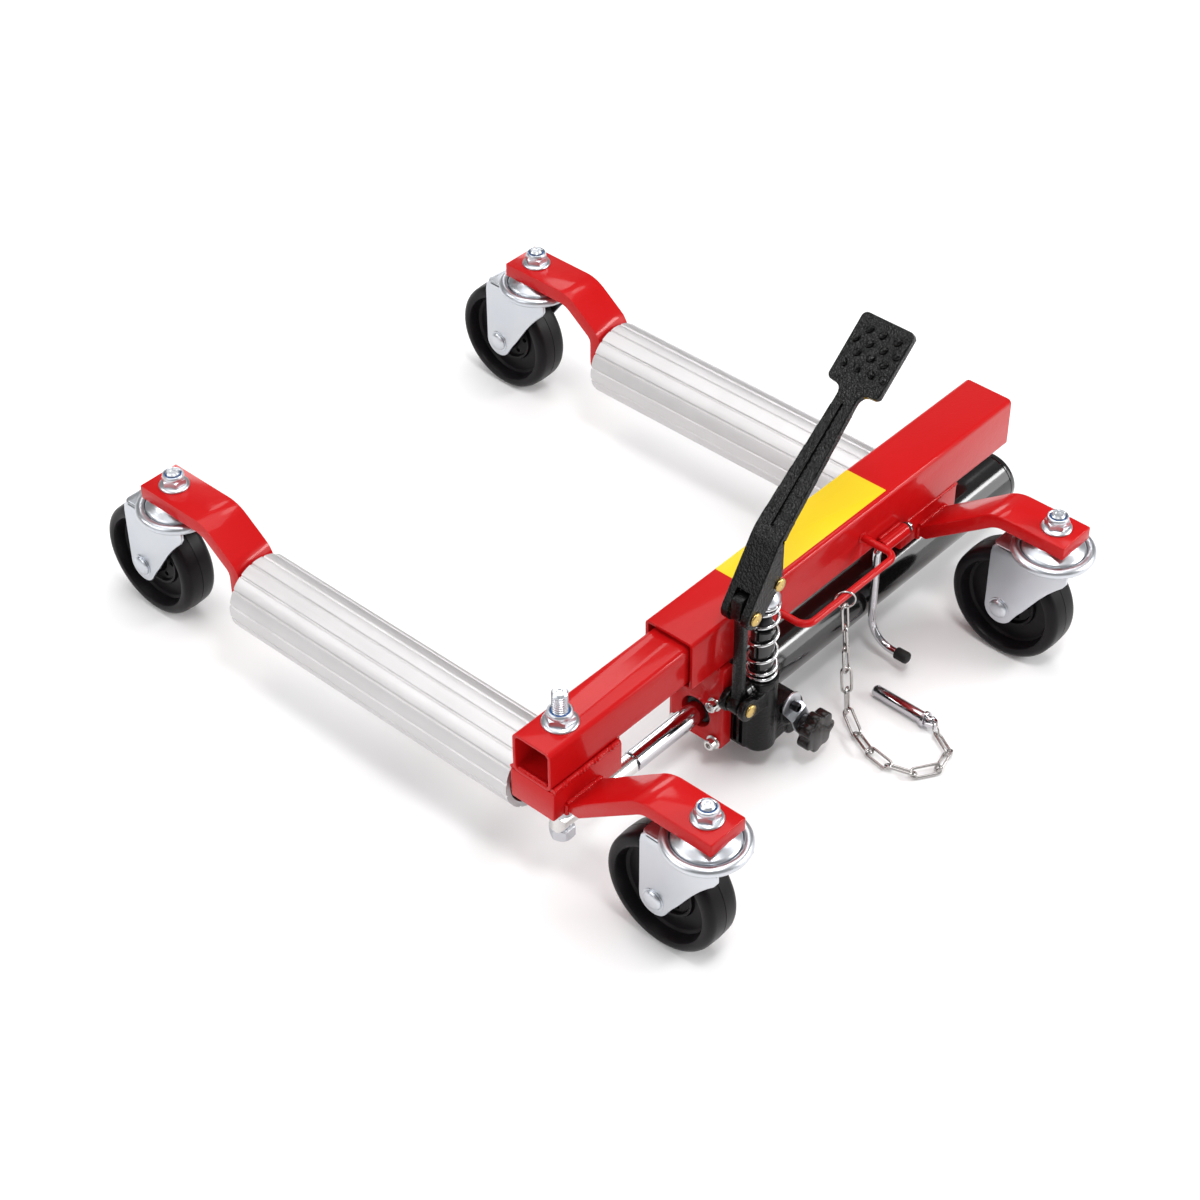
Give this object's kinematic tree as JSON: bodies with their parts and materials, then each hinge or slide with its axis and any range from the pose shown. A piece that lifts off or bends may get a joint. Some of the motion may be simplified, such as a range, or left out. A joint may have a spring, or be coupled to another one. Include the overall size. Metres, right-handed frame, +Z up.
{
  "type": "hydraulic wheel dolly",
  "caption": "Hydraulic vehicle positioning jack: a telescoping beam with a tyre roller on each cross member, swivel casters, a foot-pedal pump under a side bracket and a chained lock pin.",
  "frame": {"origin": "middle of the footprint, on the floor", "axes": "+X along the beam away from the sliding frame, +Y from the foot pump's side towards the open ends of the rollers, +Z up"},
  "size_m": [0.6223, 0.7214, 0.3733],
  "materials": {
    "red_paint": "gloss",
    "black_enamel": "gloss",
    "black_oxide": "satin",
    "black_cast_iron": "satin paint over casting",
    "bright_plating": "nickel plate",
    "blue_zinc": "bluish zinc plate",
    "yellow_zinc": "yellow passivated zinc on steel",
    "chrome": "polished",
    "brushed_steel": "machined",
    "roller_aluminium": "satin",
    "black_nylon": "matte",
    "wheel_nylon": "satin",
    "pedal_enamel": "hammered",
    "spring_steel": "bright",
    "knob_plastic": "gloss",
    "cap_rubber": "matte"
  },
  "bodies": {
    "beam": {"outer_tube": "red_paint", "far_cross_block": "red_paint", "mounting_plate": "red_paint", "far_rear_arm": "red_paint", "far_front_arm": "red_paint", "guide_loop": "red_paint", "hook_barrel": "red_paint", "ram_cylinder": "black_enamel", "cylinder_end_cap": "black_enamel", "rod_gland": "black_oxide", "pump_body": "black_cast_iron", "pump_screws": "bright_plating", "pump_washers": "bright_plating", "filler_plug": "blue_zinc", "valve_keeper": "blue_zinc", "keeper_screw": "black_oxide", "lower_link_pin": "yellow_zinc", "far_roller_shaft": "blue_zinc", "far_caster_stems": "blue_zinc", "far_flange_nuts": "blue_zinc", "chain_rings": "bright_plating", "lock_chain": "bright_plating"},
    "sliding_frame": {"inner_tube": "red_paint", "near_cross_block": "red_paint", "near_rear_arm": "red_paint", "near_front_arm": "red_paint", "near_roller_shaft": "blue_zinc", "near_caster_stems": "blue_zinc", "near_flange_nuts": "blue_zinc", "frame_bolt": "blue_zinc", "bolt_spacer": "blue_zinc", "rod_end": "bright_plating", "piston_rod": "chrome", "ram_piston": "brushed_steel"},
    "near_roller_body": {"near_roller": "roller_aluminium", "near_roller_bushes": "black_nylon"},
    "far_roller_body": {"far_roller": "roller_aluminium", "far_roller_bushes": "black_nylon"},
    "link": {"fulcrum_link": "black_cast_iron", "fulcrum_pin": "yellow_zinc"},
    "pedal": {"foot_pedal": "pedal_enamel"},
    "plunger": {"pump_plunger": "black_oxide", "plunger_pin": "yellow_zinc", "return_spring": "spring_steel"},
    "knob": {"release_knob": "knob_plastic"},
    "hook": {"storage_hook": "chrome", "hook_cap": "cap_rubber"},
    "pin": {"lock_pin": "chrome"},
    "near_rear_swivel": {"near_rear_fork": "blue_zinc", "near_rear_axle": "blue_zinc"},
    "near_rear_roll": {"near_rear_wheel": "wheel_nylon"},
    "near_front_swivel": {"near_front_fork": "blue_zinc", "near_front_axle": "blue_zinc"},
    "near_front_roll": {"near_front_wheel": "wheel_nylon"},
    "far_rear_swivel": {"far_rear_fork": "blue_zinc", "far_rear_axle": "blue_zinc"},
    "far_rear_roll": {"far_rear_wheel": "wheel_nylon"},
    "far_front_swivel": {"far_front_fork": "blue_zinc", "far_front_axle": "blue_zinc"},
    "far_front_roll": {"far_front_wheel": "wheel_nylon"}
  },
  "joints": [
    {"name": "frame_slide", "type": "slide", "parent": "beam", "child": "sliding_frame", "axis": [1, 0, 0], "range_m": [-0.15, 0.075]},
    {"name": "near_roller_spin", "type": "hinge", "parent": "sliding_frame", "child": "near_roller_body", "pos_m": [-0.27465, 0.00875, 0.088], "axis": [0, 1, 0], "continuous": true},
    {"name": "far_roller_spin", "type": "hinge", "parent": "beam", "child": "far_roller_body", "pos_m": [0.17995, 0.00875, 0.088], "axis": [0, 1, 0], "continuous": true},
    {"name": "near_rear_swivel_turn", "type": "hinge", "parent": "sliding_frame", "child": "near_rear_swivel", "pos_m": [-0.27465, 0.27275, 0.119], "axis": [0, 0, 1], "continuous": true},
    {"name": "near_rear_wheel_spin", "type": "hinge", "parent": "near_rear_swivel", "child": "near_rear_roll", "pos_m": [-0.27465, 0.30575, 0.055], "axis": [1, 0, 0], "continuous": true},
    {"name": "near_front_swivel_turn", "type": "hinge", "parent": "sliding_frame", "child": "near_front_swivel", "pos_m": [-0.27465, -0.32425, 0.119], "axis": [0, 0, 1], "continuous": true},
    {"name": "near_front_wheel_spin", "type": "hinge", "parent": "near_front_swivel", "child": "near_front_roll", "pos_m": [-0.27465, -0.29125, 0.055], "axis": [1, 0, 0], "continuous": true},
    {"name": "far_rear_swivel_turn", "type": "hinge", "parent": "beam", "child": "far_rear_swivel", "pos_m": [0.17995, 0.27275, 0.119], "axis": [0, 0, 1], "continuous": true},
    {"name": "far_rear_wheel_spin", "type": "hinge", "parent": "far_rear_swivel", "child": "far_rear_roll", "pos_m": [0.17995, 0.30575, 0.055], "axis": [1, 0, 0], "continuous": true},
    {"name": "far_front_swivel_turn", "type": "hinge", "parent": "beam", "child": "far_front_swivel", "pos_m": [0.17995, -0.32425, 0.119], "axis": [0, 0, 1], "continuous": true},
    {"name": "far_front_wheel_spin", "type": "hinge", "parent": "far_front_swivel", "child": "far_front_roll", "pos_m": [0.17995, -0.29125, 0.055], "axis": [1, 0, 0], "continuous": true},
    {"name": "link_swing", "type": "hinge", "parent": "beam", "child": "link", "pos_m": [-0.11035, -0.22025, 0.086], "axis": [0, 1, 0], "range_deg": [-3.6, 0.4]},
    {"name": "pedal_press", "type": "hinge", "parent": "link", "child": "pedal", "pos_m": [-0.11035, -0.22025, 0.1855], "axis": [0, 1, 0], "range_deg": [0, 45], "stiffness_Nm_per_rad": 3, "springref_deg": -51.57},
    {"name": "plunger_stroke", "type": "slide", "parent": "beam", "child": "plunger", "axis": [0, 0, 1], "range_m": [-0.0245, 0.0005], "deforming": ["return_spring"]},
    {"name": "knob_turn", "type": "hinge", "parent": "beam", "child": "knob", "pos_m": [-0.04785, -0.25025, 0.033], "axis": [0, 1, 0], "range_deg": [-270, 0]},
    {"name": "hook_swing", "type": "hinge", "parent": "beam", "child": "hook", "pos_m": [0.11115, -0.2076, 0.1165], "axis": [-1, 0, 0], "range_deg": [0, 95]},
    {"name": "pin_sweep", "type": "hinge", "parent": "beam", "child": "pin", "pos_m": [0.04659, -0.30782, 0.00745], "axis": [0.0009, 0.0235, 0.9997], "range_deg": [-45, 20]}
  ],
  "couplings": [
    {"joint": "link_swing", "follows": "pedal_press", "ratio": -0.072},
    {"joint": "plunger_stroke", "follows": "pedal_press", "m_per_rad": -0.03}
  ]
}
